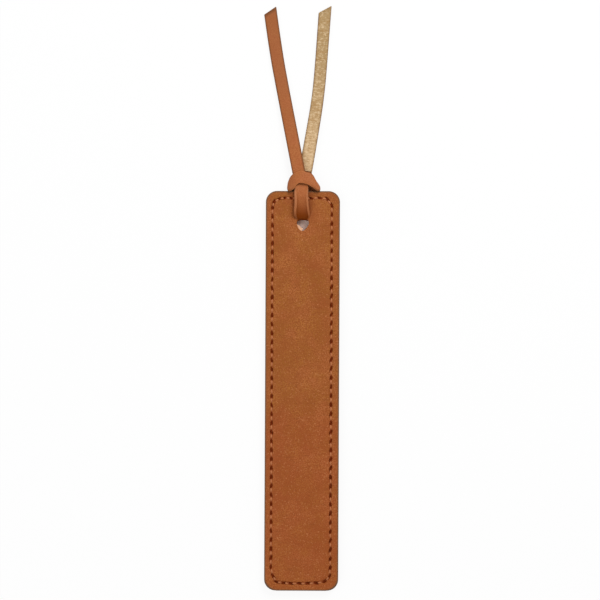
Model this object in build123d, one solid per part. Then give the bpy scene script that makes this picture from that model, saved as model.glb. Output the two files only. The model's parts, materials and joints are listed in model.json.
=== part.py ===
from build123d import *
import math
import os

# A stitched leather bookmark with a knotted lace. All sizes are in millimetres.
# The bookmark lies face up: +Z is the front of the strip, +Y points to the lace,
# and z = 0 is the table that the back of the lace lies on.

# Strip: two leather panels with a thin card between them
strip_length = 150.0
strip_width = 27.8
corner_radius = 4.2
panel_thickness = 0.9
card_thickness = 0.4
edge_round = 0.35

# Seam: two threads in a pressed channel round the edge of the strip
seam_inset = 2.6
seam_corner_cut = 2.0
side_stitch = 3.39
end_stitch = 3.05
thread_diameter = 0.5
thread_gap = 0.06
channel_width = 1.2
channel_depth = 0.35

# Lace: a flat strip of leather through a punched hole
hole_diameter = 5.4
hole_from_edge = 12.3
lace_width = 4.4
lace_thickness = 1.1
lace_gap = 0.05
lace_hole_ease = 0.35
lace_bend_radius = 0.75
loop_neck_radius = 0.9
loop_shoulder_radius = 2.0

# Knot: places along the strip are measured up from the strip's top edge
knot_base = 0.6
knot_notch = 2.95
loop_shoulder = 0.1
loop_neck = 2.3
strand_foot = 0.275
left_lobe_reach = 3.2
right_lobe_reach = 4.4
lobe_hollow = 0.65
lobe_nose_height = 1.4
lobe_nose_slant = 0.1
lobe_foot_inset = 0.4
lobe_foot_width = 1.2
knot_shoulder = 1.0
left_shoulder_drop = 0.7
notch_side_gap = 0.4
notch_splay = 0.2
swing_axis_depth = 1.0

# Tails: points chosen along each tail, across and up from the knot's top,
# with the height of the lace's underside above the table past the first point
tail_seat_gap = 0.3
left_points = [(-1.75, 0.35), (-4.5, 13.7), (-7.5, 29.2), (-10.3, 45.2), (-12.65, 60.6)]
left_undersides = [1.85, 0.55, 0.08, 0.12]
right_points = [(0.95, 0.40), (3.3, 13.9), (5.6, 29.3), (6.9, 45.3), (7.85, 60.9)]
right_undersides = [0.60, 0.20, 0.06, 0.14]
left_tip_slant = 36.0
right_tip_slant = 25.5
tail_bend_share = 0.45

# Worked out from the sizes above
half_strip = card_thickness / 2 + panel_thickness
half_lace = lace_width / 2
thread_radius = thread_diameter / 2
turn_radius = (thread_diameter + thread_gap) / 2
run_level = half_strip - channel_depth + thread_gap / 2 + thread_radius
turn_level = thread_gap / 2 + thread_radius + turn_radius
bend_radius = run_level - turn_level
strap_gap = run_level + thread_radius - half_strip + thread_gap
strap_level = half_strip + strap_gap + lace_thickness / 2
strand_level = (lace_thickness + lace_gap) / 2
band_level = strand_level + lace_thickness + lace_gap
knot_top = knot_notch + lace_width
mid_level = strap_level + lace_thickness / 2
strip_centre = -knot_top / 2
top_edge = strip_centre + strip_length / 2

strip_frame = Pos(0, strip_centre, mid_level)
knot_frame = Pos(0, top_edge, mid_level)


def row_of_holes(start, end, stitch):
    """Needle holes at an even stitch from one end of a straight row to the other."""
    count = max(1, round((end - start).length / stitch))
    return [start + (end - start) * (i / count) for i in range(count + 1)]


def seam_holes():
    """Every needle hole, in order, with the heading of the seam there."""
    x = strip_width / 2 - seam_inset
    y = strip_length / 2 - seam_inset
    cut = seam_corner_cut
    rows = [
        (Vector(cut - x, -y), Vector(x - cut, -y), end_stitch),
        (Vector(x, cut - y), Vector(x, y - cut), side_stitch),
        (Vector(x - cut, y), Vector(cut - x, y), end_stitch),
        (Vector(-x, y - cut), Vector(-x, cut - y), side_stitch),
    ]
    holes = []
    for row in rows:
        holes += row_of_holes(*row)
    headed = []
    for i, hole in enumerate(holes):
        before = (hole - holes[i - 1]).normalized()
        after = (holes[(i + 1) % len(holes)] - hole).normalized()
        headed.append((hole, (before + after).normalized()))
    return headed


def strip_outline():
    return RectangleRounded(strip_width, strip_length, corner_radius)


def needle_slots(holes):
    """One slot per stitch, as long as the thread's two bends need."""
    length = 2 * (turn_radius + bend_radius)
    width = thread_diameter + 2 * thread_gap
    slots = []
    for hole, heading in holes:
        angle = math.degrees(math.atan2(heading.Y, heading.X))
        slots.append(Pos(hole.X, hole.Y) * Rot(0, 0, angle) * SlotOverall(length, width))
    return slots


def lace_hole():
    return Pos(0, strip_length / 2 - hole_from_edge) * Circle(hole_diameter / 2)


def seam_channel():
    """Flat ring that follows the seam, with its corners cut as the seam's are."""
    x = strip_width / 2 - seam_inset
    y = strip_length / 2 - seam_inset
    cut = seam_corner_cut
    quarter = [(x, y - cut), (x - cut, y)]
    corners = quarter + [(-u, v) for u, v in reversed(quarter)]
    corners += [(-u, -v) for u, v in corners]
    line = make_face(Polyline(*corners, close=True))
    half = channel_width / 2
    outer = offset(line, amount=half, kind=Kind.INTERSECTION)
    inner = offset(line, amount=-half, kind=Kind.INTERSECTION)
    return outer - inner


def front_panel(holes):
    base = Pos(0, 0, card_thickness / 2)
    panel = base * extrude(strip_outline(), panel_thickness)
    face_rim = panel.faces().sort_by(Axis.Z)[-1].outer_wire().edges()
    panel = fillet(face_rim, edge_round)
    cuts = extrude(base * Sketch(needle_slots(holes) + [lace_hole()]), panel_thickness)
    channel = extrude(Pos(0, 0, half_strip - channel_depth) * seam_channel(), channel_depth)
    return panel - cuts - channel


def stiffener_card(holes):
    cuts = needle_slots(holes) + [lace_hole()]
    return Pos(0, 0, -card_thickness / 2) * extrude(strip_outline() - cuts, card_thickness)


def needle_thread(holes):
    """One unbroken tube: a run over each stitch and a turn down every hole."""
    up = Vector(0, 0, 1)
    corner = 1 - math.sqrt(0.5)
    edges = []
    for i, (hole, heading) in enumerate(holes):
        next_hole, next_heading = holes[(i + 1) % len(holes)]
        rise = hole + heading * turn_radius
        dive = next_hole - next_heading * turn_radius
        out = next_hole + next_heading * turn_radius
        along = (dive - rise).normalized()
        eased = along * (bend_radius * corner) + up * (run_level - bend_radius * corner)
        settled = up * (run_level - bend_radius * corner) - along * (bend_radius * corner)
        run_start = rise + along * bend_radius + up * run_level
        run_end = dive - along * bend_radius + up * run_level
        edges.append(ThreePointArc(rise + up * turn_level, rise + eased, run_start))
        edges.append(Line(run_start, run_end))
        edges.append(ThreePointArc(run_end, dive + settled, dive + up * turn_level))
        low = next_hole + up * (turn_level - turn_radius)
        edges.append(ThreePointArc(dive + up * turn_level, low, out + up * turn_level))
    path = Wire(edges)
    section = Plane(path @ 0, z_dir=path % 0) * Circle(thread_radius)
    print("thread length", round(path.length, 1), "stitches", len(holes))
    return sweep(section, path=path)


def lace_loop():
    """Front strap, the turn through the hole and the back strap, as one flat lace."""
    strap_end = knot_notch - strand_foot - lace_gap
    through = hole_diameter / 2 - hole_from_edge - lace_thickness / 2 - lace_hole_ease
    points = [
        (0, strap_end, strand_level),
        (0, loop_neck, strand_level),
        (0, loop_shoulder, strap_level),
        (0, through, strap_level),
        (0, through, -strap_level),
        (0, knot_base - lace_gap, -strap_level),
    ]
    radii = [loop_neck_radius, loop_shoulder_radius, lace_bend_radius, lace_bend_radius]
    path = FilletPolyline(*points, radius=radii)
    section = Plane(path @ 0, x_dir=(1, 0, 0), z_dir=path % 0) * Rectangle(lace_width, lace_thickness)
    lace = sweep(section, path=path)
    strip = Pos(0, -strip_length / 2) * Box(strip_width, strip_length, 2 * half_strip)
    bore = Pos(0, -hole_from_edge) * Cylinder(hole_diameter / 2 - lace_gap, 2 * half_strip)
    return lace - (strip - bore)


def knot_outline():
    """Front view of the wrapped band, with the notch that the front strap enters."""
    left = -half_lace - left_lobe_reach
    right = half_lace + right_lobe_reach
    notch = half_lace + notch_side_gap
    middle = (knot_base + knot_top) / 2
    left_foot = (left, knot_base)
    left_top = (-half_lace - knot_shoulder, knot_top - left_shoulder_drop)
    right_top = (half_lace + knot_shoulder, knot_top)
    nose = (right - lobe_nose_slant, knot_base + lobe_nose_height)
    right_foot = (right - lobe_foot_inset, knot_base)
    right_heel = (right - lobe_foot_inset - lobe_foot_width, knot_base)
    notch_right = (notch, knot_notch - notch_side_gap - strand_foot)
    notch_left = (-notch, knot_notch - notch_side_gap - strand_foot)
    left_heel = (-notch - notch_splay, knot_base)
    rim = [
        ThreePointArc(left_foot, (left + lobe_hollow, middle), left_top),
        Polyline(left_top, right_top, nose, right_foot, right_heel, notch_right),
        ThreePointArc(notch_right, (0, knot_notch), notch_left),
        Polyline(notch_left, left_heel, left_foot),
    ]
    return make_face(rim)


def wrapped_band():
    """The back strand brought round the right lobe, across the front and behind."""
    right_radius = (band_level + strap_level) / 2
    left_radius = (band_level + strand_level) / 2
    right = half_lace + right_lobe_reach - right_radius - lace_thickness / 2
    left = left_radius + lace_thickness / 2 - half_lace - left_lobe_reach
    mid = (knot_base + knot_top) / 2
    path = Wire([
        Line((-half_lace, mid, -strap_level), (right, mid, -strap_level)),
        ThreePointArc(
            (right, mid, -strap_level),
            (right + right_radius, mid, band_level - right_radius),
            (right, mid, band_level),
        ),
        Line((right, mid, band_level), (left, mid, band_level)),
        ThreePointArc(
            (left, mid, band_level),
            (left - left_radius, mid, band_level - left_radius),
            (left, mid, -strand_level),
        ),
        Line((left, mid, -strand_level), (half_lace, mid, -strand_level)),
    ])
    height = knot_top - knot_base
    section = Plane(path @ 0, x_dir=(0, 1, 0), z_dir=path % 0) * Rectangle(height, lace_thickness)
    return sweep(section, path=path)


def tail_route(points, level, undersides):
    """Centre points of a tail, in the knot's frame, from its exit to its tip."""
    first_x, first_y = points[0]
    route = [Vector(first_x, knot_top + first_y, level)]
    for (x, y), underside in zip(points[1:], undersides):
        route.append(Vector(x, knot_top + y, underside + lace_thickness / 2 - mid_level))
    return route


def heading_of(route):
    """Direction in which a tail leaves the knot, seen from the front."""
    step = route[1] - route[0]
    return Vector(step.X, step.Y).normalized()


def strand(route, base):
    """Straight stretch of lace inside the knot, square to its tail at the top."""
    heading = heading_of(route)
    across = Vector(heading.Y, -heading.X)
    top = Vector(route[0].X, route[0].Y) - heading * tail_seat_gap
    foot = top - heading * ((top.Y - base) / heading.Y)
    spread = Vector(half_lace / heading.Y, 0)
    corners = [foot - spread, foot + spread, top + across * half_lace, top - across * half_lace]
    level = route[0].Z - lace_thickness / 2
    outline = make_face(Polyline(*[(c.X, c.Y) for c in corners], close=True))
    return Pos(0, 0, level) * extrude(outline, lace_thickness)


def lace_knot(left_route, right_route):
    """The band wrapped round the front strand, with both strands inside it."""
    reach = 2 * (strap_level + lace_thickness)
    front_view = Pos(0, 0, -reach / 2) * extrude(knot_outline(), reach)
    wrap = wrapped_band() & front_view
    back_top = (knot_notch + knot_top) / 2
    back_strand = Pos(0, (knot_base + back_top) / 2, -strap_level) * Box(
        lace_width, back_top - knot_base, lace_thickness
    )
    wrap = wrap + back_strand + strand(right_route, knot_notch)
    front_strand = strand(left_route, knot_notch - strand_foot)
    return Compound(children=[*wrap.solids(), *front_strand.solids()])


def tail_radii(route):
    """Radius of each bend: as large as its two runs allow."""
    radii = []
    for before, at, after in zip(route, route[1:], route[2:]):
        turn = math.radians((at - before).get_angle(after - at))
        run = min((at - before).length, (after - at).length)
        radii.append(tail_bend_share * run / math.tan(turn / 2))
    return radii


def lace_tail(name, route, tip_slant):
    """One free end of the lace: rounded where it bends at the knot, cut on a slant."""
    radii = tail_radii(route)
    path = FilletPolyline(*route, radius=radii)
    heading = heading_of(route)
    across = Vector(heading.Y, -heading.X)
    section = Plane(path @ 0, x_dir=across, z_dir=path % 0) * Rectangle(lace_width, lace_thickness)
    tail = sweep(section, path=path)
    print(name, "bend radii", [round(r) for r in radii], "length", round(path.length, 1))
    print(name, "volume share", round(tail.volume / (path.length * lace_width * lace_thickness), 4))
    root = tail.faces().sort_by_distance(path @ 0)[0]
    root_edges = root.edges().sort_by(SortBy.LENGTH)[-2:]
    tail = fillet(root_edges, lace_thickness / 2 - lace_gap / 2)
    end = path @ 1
    reach = half_lace * math.sin(math.radians(tip_slant))
    cut_normal = Vector(math.sin(math.radians(-tip_slant)), math.cos(math.radians(-tip_slant)))
    tip = Plane((end.X, end.Y - reach, end.Z), z_dir=cut_normal)
    return split(tail, bisect_by=tip, keep=Keep.BOTTOM)


os.makedirs("parts", exist_ok=True)
stitches = seam_holes()
panel = front_panel(stitches)
thread = needle_thread(stitches)
left_route = tail_route(left_points, strand_level, left_undersides)
right_route = tail_route(right_points, -strand_level, right_undersides)

parts = {
    "front_panel": strip_frame * panel,
    "back_panel": strip_frame * mirror(panel, about=Plane.XY),
    "stiffener_card": strip_frame * stiffener_card(stitches),
    "needle_thread": strip_frame * thread,
    "bobbin_thread": strip_frame * mirror(thread, about=Plane.XY),
    "lace_loop": knot_frame * lace_loop(),
    "lace_knot": knot_frame * lace_knot(left_route, right_route),
    "lace_tail_left": knot_frame * lace_tail("left tail", left_route, left_tip_slant),
    "lace_tail_right": knot_frame * lace_tail("right tail", right_route, right_tip_slant),
}
for name, solid in parts.items():
    export_step(solid, f"parts/{name}.step")

print("top edge y", round(top_edge, 4), "strip centre y", round(strip_centre, 4))
print("mid level z", round(mid_level, 4), "swing axis y", round(top_edge - swing_axis_depth, 4))
for name, route in (("left", left_route), ("right", right_route)):
    pivot = route[0] + heading_of(route) * (lace_thickness / 2)
    placed = [round(v, 4) for v in (pivot.X, pivot.Y + top_edge, pivot.Z + mid_level)]
    axis = heading_of(route)
    print(name, "tail pivot", placed, "axis", [round(axis.Y, 5), round(-axis.X, 5), 0])
    print(name, "route", [tuple(round(v, 3) for v in (p.X, p.Y + top_edge, p.Z + mid_level)) for p in route])
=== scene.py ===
# %% [markdown]
# # A stitched leather bookmark with a knotted lace
#
# The bookmark is two strips of tan leather sewn together all round with a thread in a pressed
# channel. A flat leather lace goes through a punched hole and is tied in one knot at the strip's
# top edge, and its two free tails show both of its sides: smooth grain on the left tail, pale
# suede on the right one. The CAD model is the fixed frame. Everything here is dressed onto it,
# in metres, with x across the strip, y along it to the lace and z up from the table.

# %% Load the frame
import json
import math
import bpy
import bmesh
import numpy as np
from mathutils import Matrix, Vector


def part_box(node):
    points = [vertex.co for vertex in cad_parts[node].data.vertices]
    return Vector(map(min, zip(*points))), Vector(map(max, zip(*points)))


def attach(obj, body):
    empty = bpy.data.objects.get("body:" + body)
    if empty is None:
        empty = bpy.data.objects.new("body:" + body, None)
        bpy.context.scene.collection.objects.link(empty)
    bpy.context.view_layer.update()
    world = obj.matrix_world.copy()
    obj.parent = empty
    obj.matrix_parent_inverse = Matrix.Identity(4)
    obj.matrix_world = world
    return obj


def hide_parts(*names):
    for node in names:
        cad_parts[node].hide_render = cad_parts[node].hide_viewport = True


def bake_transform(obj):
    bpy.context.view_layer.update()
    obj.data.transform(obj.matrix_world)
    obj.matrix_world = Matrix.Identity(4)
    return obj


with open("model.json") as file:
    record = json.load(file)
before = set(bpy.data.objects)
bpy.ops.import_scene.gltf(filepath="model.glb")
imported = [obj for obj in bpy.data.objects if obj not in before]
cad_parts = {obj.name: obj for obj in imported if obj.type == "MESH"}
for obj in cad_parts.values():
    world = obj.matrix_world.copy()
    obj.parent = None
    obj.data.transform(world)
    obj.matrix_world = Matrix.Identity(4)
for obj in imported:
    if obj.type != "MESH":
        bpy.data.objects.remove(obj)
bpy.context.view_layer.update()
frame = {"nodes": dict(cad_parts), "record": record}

# %% [markdown]
# ## Places taken from the frame
#
# What the frame can tell is read from it, so the looks follow if it changes: the panel's box
# gives the strip's width, length, face and top edge, and a mount gives the middle of the lace
# hole.

# %% Strip values
mm = 0.001
panel_low, panel_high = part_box("front_panel")
back_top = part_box("back_panel")[1].z
strip_width = panel_high.x - panel_low.x
strip_length = panel_high.y - panel_low.y
strip_y = (panel_high.y + panel_low.y) / 2
top_edge = panel_high.y
face_level = panel_high.z
mid_level = (panel_low.z + back_top) / 2
panel_thickness = panel_high.z - panel_low.z
mount_places = {mount["name"]: mount["pos_m"] for mount in frame["record"]["mounts"]}
hole_y = mount_places["lace_hole"][1]
print("strip", round(strip_width / mm, 2), "by", round(strip_length / mm, 2), "mm, face at", face_level)

# %% [markdown]
# ## Camera, floor and light
#
# The photograph looks straight down on the bookmark, which leans about a quarter of a degree. A
# long lens keeps the sides of the strip out of sight, as there. One pixel of the 600 pixel frame
# is 0.375 mm on the strip's face, and that sets the camera's height.

# %% Camera
photo_pixels = 600
pixel_size = 0.375 * mm
lens_length = 100.0
sensor_width = 36.0
camera_lean = math.radians(0.275)
view_x = -0.93 * mm
view_y = strip_y + 34.1 * mm
camera_height = photo_pixels * pixel_size * lens_length / sensor_width
camera_place = (view_x, view_y, face_level + camera_height)
bpy.ops.object.select_all(action="DESELECT")
bpy.ops.object.camera_add(location=camera_place, rotation=(0, 0, camera_lean))
camera = bpy.context.object
camera.name = "photo_camera"
camera.data.lens = lens_length
camera.data.sensor_width = sensor_width
camera.data.clip_start = 0.01
camera.data.clip_end = 20.0
bpy.context.scene.camera = camera
bpy.context.scene.view_settings.view_transform = "Standard"
print("camera height", round(camera_height, 4), "m")

# %% [markdown]
# The floor is a plain white sheet. Most of the light is an even white sky, so the colours come
# out about as they are written. One large soft lamp from the upper right models the grain and
# the stitches, and a weaker one from the left keeps the shaded sides open.

# %% Floor and lights
floor_size = 6.0
sky_strength = 0.48
bpy.ops.mesh.primitive_grid_add(x_subdivisions=4, y_subdivisions=4, size=floor_size, location=(0, 0, 0))
floor = bpy.context.object
floor.name = "floor"

world = bpy.data.worlds.new("even_sky")
bpy.context.scene.world = world
world.use_nodes = True
sky = world.node_tree.nodes["Background"]
sky.inputs["Color"].default_value = (1.0, 1.0, 1.0, 1.0)
sky.inputs["Strength"].default_value = sky_strength


def soft_lamp(name, place, size, power):
    """One square area lamp that looks from its place at the middle of the strip."""
    bpy.ops.object.light_add(type="AREA", location=place)
    lamp = bpy.context.object
    lamp.name = name
    lamp.data.size = size
    lamp.data.energy = power
    aim = Vector((0, strip_y, 0)) - Vector(place)
    lamp.rotation_euler = aim.to_track_quat("-Z", "Y").to_euler()
    return lamp


key_lamp = soft_lamp("key_lamp", (0.28, 0.52, 0.62), size=0.35, power=3.9)
fill_lamp = soft_lamp("fill_lamp", (-0.50, -0.10, 0.80), size=0.6, power=2.2)
print("lamps", key_lamp.name, fill_lamp.name)

# %% [markdown]
# ## The lace
#
# The lace is one flat strip of leather about 4.5 mm wide. A strip like that is easiest to make
# as a flat grid whose rows are laid along a line, and then thickened. The free tails are cords,
# so their lines are smooth NURBS curves, led by a few listed points: the CAD model's
# with small moves to follow the photograph, and one more inside the knot.

# %% Lines of the two tails
# points across, along and above the table, in mm
left_route = [
    (-0.95, 75.4, 3.45), (-1.75, 79.3, 3.85), (-4.35, 92.4, 2.35),
    (-7.45, 107.9, 1.15), (-10.50, 123.9, 0.70), (-12.65, 139.35, 0.74),
]
right_route = [
    (0.20, 75.4, 1.87), (0.95, 79.1, 1.87), (3.25, 92.6, 1.20),
    (5.70, 108.0, 0.82), (6.95, 124.0, 0.68), (8.00, 139.9, 0.74),
]
tail_steps = 24


def smooth_line(points, steps):
    """Points along a NURBS curve that has these control points."""
    data = bpy.data.curves.new("lace_line", "CURVE")
    data.dimensions = "3D"
    spline = data.splines.new("NURBS")
    spline.points.add(len(points) - 1)
    for place, point in zip(spline.points, points):
        place.co = (*point, 1.0)
    spline.order_u = 3
    spline.use_endpoint_u = True
    spline.resolution_u = steps
    holder = bpy.data.objects.new("lace_line", data)
    bpy.context.scene.collection.objects.link(holder)
    mesh = bpy.data.meshes.new_from_object(holder)
    line = np.array([vertex.co[:] for vertex in mesh.vertices])
    bpy.data.meshes.remove(mesh)
    bpy.data.objects.remove(holder)
    bpy.data.curves.remove(data)
    return line


left_line = smooth_line([Vector(point) * mm for point in left_route], tail_steps)
right_line = smooth_line([Vector(point) * mm for point in right_route], tail_steps)
print("points along the tails", len(left_line), len(right_line))

# %% [markdown]
# Each tail leaves the knot, lies down on the table and ends in a slanting cut. Its rows are laid
# square across its line, rolled a little about it and curled at their ends. The rows near the
# tip are slid along the lace in proportion to their place across it, which makes the cut.

# %% Rows of the two tails
# widths in mm and rolls in degrees, at even steps from the knot to the tip
left_widths = (4.8, 4.8, 4.75, 4.8, 4.8)
left_rolls = (10, 4, 0, -3, 0, 3)
right_widths = (5.0, 4.75, 4.5, 4.5, 4.6)
right_rolls = (-4, 0, 4, 0, -3, 0)
left_curl = -0.1 * mm
right_curl = 0.1 * mm
left_cut = 2.4 * mm
right_cut = 2.9 * mm
cut_reach = 12 * mm
tail_cells = 12
curl_power = 4
curl_sink = 0.1


def spread(values, share):
    """Values given at even steps, read at each share of the way."""
    return np.interp(share, np.linspace(0, 1, len(values)), values)


def unit(vectors):
    """The same vectors, each one long."""
    return vectors / np.linalg.norm(vectors, axis=1, keepdims=True)


def rows_between(first, last, cells, cup, bias=0.0):
    """Rows of points from one rail to the other, edges curled up by cup, the last by more with bias."""
    share = np.linspace(0.0, 1.0, cells + 1)
    rows = first[:, None, :] + (last - first)[:, None, :] * share[None, :, None]
    heading = np.gradient((first + last) / 2, axis=0)
    normal = unit(np.cross(last - first, heading))
    aside = 2 * share - 1
    curl = aside ** curl_power * (1 + bias * aside) - curl_sink
    return rows + normal[:, None, :] * np.outer(cup, curl)[:, :, None]


def tail_rows(line, widths, rolls, curl, cut):
    """Rows of lace along a line, rolled, curled and cut on a slant, and the line's length."""
    heading = unit(np.gradient(line, axis=0))
    side = unit(np.cross(heading, np.array([0.0, 0.0, 1.0])))
    up = np.cross(side, heading)
    run = np.concatenate([[0.0], np.cumsum(np.linalg.norm(np.diff(line, axis=0), axis=1))])
    roll = np.radians(spread(rolls, run / run[-1]))
    half = spread(widths, run / run[-1])[:, None] * mm / 2
    tilted = side * np.cos(roll)[:, None] + up * np.sin(roll)[:, None]
    rows = rows_between(line - tilted * half, line + tilted * half, tail_cells, np.full(len(line), curl))
    share = np.linspace(-0.5, 0.5, tail_cells + 1)
    near_tip = np.clip((run - run[-1] + cut_reach) / cut_reach, 0, 1)
    slide = np.outer(near_tip, share) * cut
    return rows + heading[:, None, :] * slide[:, :, None], run[-1]


left_rows, left_length = tail_rows(left_line, left_widths, left_rolls, left_curl, left_cut)
right_rows, right_length = tail_rows(right_line, right_widths, right_rolls, right_curl, right_cut)
print("tail lengths", round(left_length / mm, 1), round(right_length / mm, 1), "mm")

# %% [markdown]
# Solidify makes a lace of a grid: it gives it a second side and cut edges, each with a finish of
# its own, and Bevel takes the sharpness off the edges. The thickness is the CAD model's. Two
# marks on the mesh tell the finishes where the edges are, which get painted shade, and where more
# painted shade darkens the lace, which is most of all at the tip.

# %% Tails
lace_thickness = 1.1 * mm
edge_bevel = 0.16 * mm
bevel_angle = math.radians(50)
beside_edge = 0.55
lace_finishes = 3


def keep_mark(piece, name, values):
    """Keeps one number for each point of a mesh, under a name that its finish reads."""
    mark = piece.data.attributes.new(name, "FLOAT", "POINT")
    mark.data.foreach_set("value", np.ascontiguousarray(values, dtype=np.float32).ravel())


def lace_strip(name, rows, marks):
    """A flat grid laid on these rows, thickened, with softly rounded cut edges and named marks."""
    bpy.ops.object.select_all(action="DESELECT")
    along = len(rows) - 1
    across = len(rows[0]) - 1
    bpy.ops.mesh.primitive_grid_add(x_subdivisions=across, y_subdivisions=along, size=1)
    lace = bpy.context.object
    lace.name = name
    lace.data.name = name
    lace.data.vertices.foreach_set("co", np.ascontiguousarray(rows, dtype=np.float32).ravel())
    for mark, values in marks.items():
        keep_mark(lace, mark, values)
    lace.data.update()
    for number in range(lace_finishes):
        lace.data.materials.append(None)
    bpy.ops.object.modifier_add(type="SOLIDIFY")
    wall = lace.modifiers[-1]
    wall.thickness = lace_thickness
    wall.offset = 0.0
    wall.use_even_offset = True
    wall.material_offset = 1
    wall.material_offset_rim = 2
    bpy.ops.object.modifier_apply(modifier=wall.name)
    bpy.ops.object.modifier_add(type="BEVEL")
    rounding = lace.modifiers[-1]
    rounding.width = edge_bevel
    rounding.segments = 2
    rounding.limit_method = "ANGLE"
    rounding.angle_limit = bevel_angle
    bpy.ops.object.modifier_apply(modifier=rounding.name)
    bpy.ops.object.shade_smooth()
    return lace


def edge_mark(rows):
    """1 along both long edges and at the last row, where the lace was cut, and 0 elsewhere."""
    mark = np.zeros(rows.shape[:2])
    mark[-2] = beside_edge
    mark[:, [1, -2]] = beside_edge
    mark[:, [0, -1]] = 1.0
    mark[-1] = 1.0
    return mark


def along_mark(rows, ends):
    """A value for each row that goes evenly through the given ones from end to end."""
    values = spread(ends, np.linspace(0, 1, len(rows)))
    return np.repeat(values[:, None], rows.shape[1], axis=1)


def tail_strip(name, rows):
    """A tail with its edges marked, and painted shade that grows towards its tip."""
    return lace_strip(name, rows, {"edge": edge_mark(rows), "painted_shade": along_mark(rows, (0, 1))})


left_tail = tail_strip("lace_tail_left_dressed", left_rows)
right_tail = tail_strip("lace_tail_right_dressed", right_rows)
print("tail faces", len(left_tail.data.polygons), len(right_tail.data.polygons))

# %% [markdown]
# ### The loop through the hole
#
# The lace lies on the front of the strip, dives through the hole and comes back up behind. It
# was pulled tight, so the front strap is drawn into a gutter and its pale cut edges turn up to
# the light. One line with a width would do for an even lace, but this one is squeezed in the
# hole and under the knot, so two rails, left and right, hold its width at each place. A mark
# says where it dives, and the finishes paint shade there, where the strap turns away from the light.

# %% Loop
loop_stations = [
    # above the top edge, over the middle layer, left rail, right rail and curl in mm, and dive
    (4.4, 0.60, -2.20, 2.20, 0.00, 0.00),
    (3.2, 0.90, -2.50, 2.10, 0.05, 0.00),
    (2.0, 1.45, -2.85, 2.00, 0.20, 0.00),
    (0.6, 1.98, -3.00, 1.90, 0.50, 0.00),
    (-1.2, 2.14, -2.90, 1.68, 0.80, 0.05),
    (-3.2, 2.10, -2.75, 1.68, 0.90, 0.25),
    (-5.3, 1.96, -2.75, 1.85, 1.00, 0.50),
    (-7.4, 1.66, -3.10, 2.10, 1.20, 0.80),
    (-9.0, 1.12, -2.85, 2.50, 1.10, 1.00),
    (-10.1, 0.35, -2.35, 2.30, 0.70, 1.00),
    (-10.5, -0.60, -2.05, 2.05, 0.50, 1.00),
    (-10.1, -1.70, -2.05, 2.05, 0.30, 1.00),
    (-8.4, -1.84, -2.20, 2.20, 0.10, 0.60),
    (-5.0, -1.84, -2.20, 2.20, 0.00, 0.00),
    (-1.0, -1.86, -2.20, 2.20, 0.00, 0.00),
    (1.2, -1.86, -2.20, 2.20, 0.00, 0.00),
]
loop_steps = 6
loop_cells = 14
loop_bias = 0.3


def knot_place(u, v, w):
    """A point across, above the strip's top edge and over the middle layer, in millimetres."""
    return Vector((u * mm, top_edge + v * mm, mid_level + w * mm))


above, over, left_rail, right_rail, curls, dives = zip(*loop_stations)
loop_left = smooth_line([knot_place(*point) for point in zip(left_rail, above, over)], loop_steps)
loop_right = smooth_line([knot_place(*point) for point in zip(right_rail, above, over)], loop_steps)
loop_cups = spread([curl * mm for curl in curls], np.linspace(0, 1, len(loop_left)))
loop_rows = rows_between(loop_right, loop_left, loop_cells, loop_cups, loop_bias)
lace_loop = lace_strip("lace_loop_dressed", loop_rows, {"dive": along_mark(loop_rows, dives)})
print("loop rows", len(loop_left))

# %% [markdown]
# ### The knot
#
# The back strand comes round the right side, across the front as a broad band, round the left
# side and back behind the front strand, where it leaves as the right tail. The band is one more
# strip between two rails: the outer one runs along its upper edge and the inner one along its
# lower edge. The front of the band is kept clear of painted shade, and its left end and the strands
# behind get the most.

# %% Knot
knot_stations = [
    # outer rail and inner rail, each across, above the top edge and over the middle layer, and
    # curl, all in mm, then the painted shade on the edges and the painted shade over the lace
    ((-2.2, -0.2, -1.85), (2.2, -0.2, -1.85), 0.12, 1.0, 0.0),
    ((-2.0, 1.8, -1.85), (2.5, -0.25, -1.85), 0.12, 1.0, 0.0),
    ((0.4, 3.9, -1.85), (3.4, -0.15, -1.85), 0.12, 1.0, 0.0),
    ((3.2, 4.4, -1.80), (5.2, -0.2, -1.95), 0.20, 1.0, 0.0),
    ((4.5, 3.7, -0.60), (6.3, 1.8, -0.60), 0.40, 1.0, 0.3),
    ((4.8, 3.4, 1.20), (6.2, -0.5, 2.35), 0.40, 1.0, 0.3),
    ((3.0, 6.6, 1.70), (3.9, 1.2, 2.35), 0.20, 0.5, 0.0),
    ((1.4, 6.7, 1.80), (0.9, 2.8, 2.50), 0.12, 0.0, 0.0),
    ((-0.9, 7.8, 1.70), (-2.0, 2.9, 2.50), 0.12, 0.0, 0.0),
    ((-3.7, 6.3, 1.50), (-2.9, 1.0, 2.30), 0.20, 0.2, 0.5),
    ((-5.2, 4.0, 0.90), (-5.4, -0.5, 2.40), 0.35, 0.8, 1.0),
    ((-4.8, 4.2, -0.50), (-5.7, 1.3, -0.40), 0.35, 1.0, 1.0),
    ((-2.4, 5.2, -0.85), (-4.0, -0.35, -1.60), 0.12, 1.0, 1.0),
    ((-0.9, 6.4, -0.75), (1.6, 1.8, -0.60), 0.12, 1.0, 1.0),
    ((-1.2, 8.1, -0.60), (3.15, 7.35, -0.60), 0.12, 1.0, 1.0),
]
knot_steps = 8
knot_cells = 10
outer_rail, inner_rail, curls, shade_share, painted_shade = zip(*knot_stations)
knot_outer = smooth_line([knot_place(*point) for point in outer_rail], knot_steps)
knot_inner = smooth_line([knot_place(*point) for point in inner_rail], knot_steps)
knot_cups = -spread(curls, np.linspace(0, 1, len(knot_outer))) * mm
knot_rows = rows_between(knot_inner, knot_outer, knot_cells, knot_cups)
knot_marks = {
    "edge": edge_mark(knot_rows) * along_mark(knot_rows, shade_share),
    "painted_shade": along_mark(knot_rows, painted_shade),
}
lace_knot = lace_strip("lace_knot_dressed", knot_rows, knot_marks)
print("knot rows", len(knot_outer))

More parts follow.
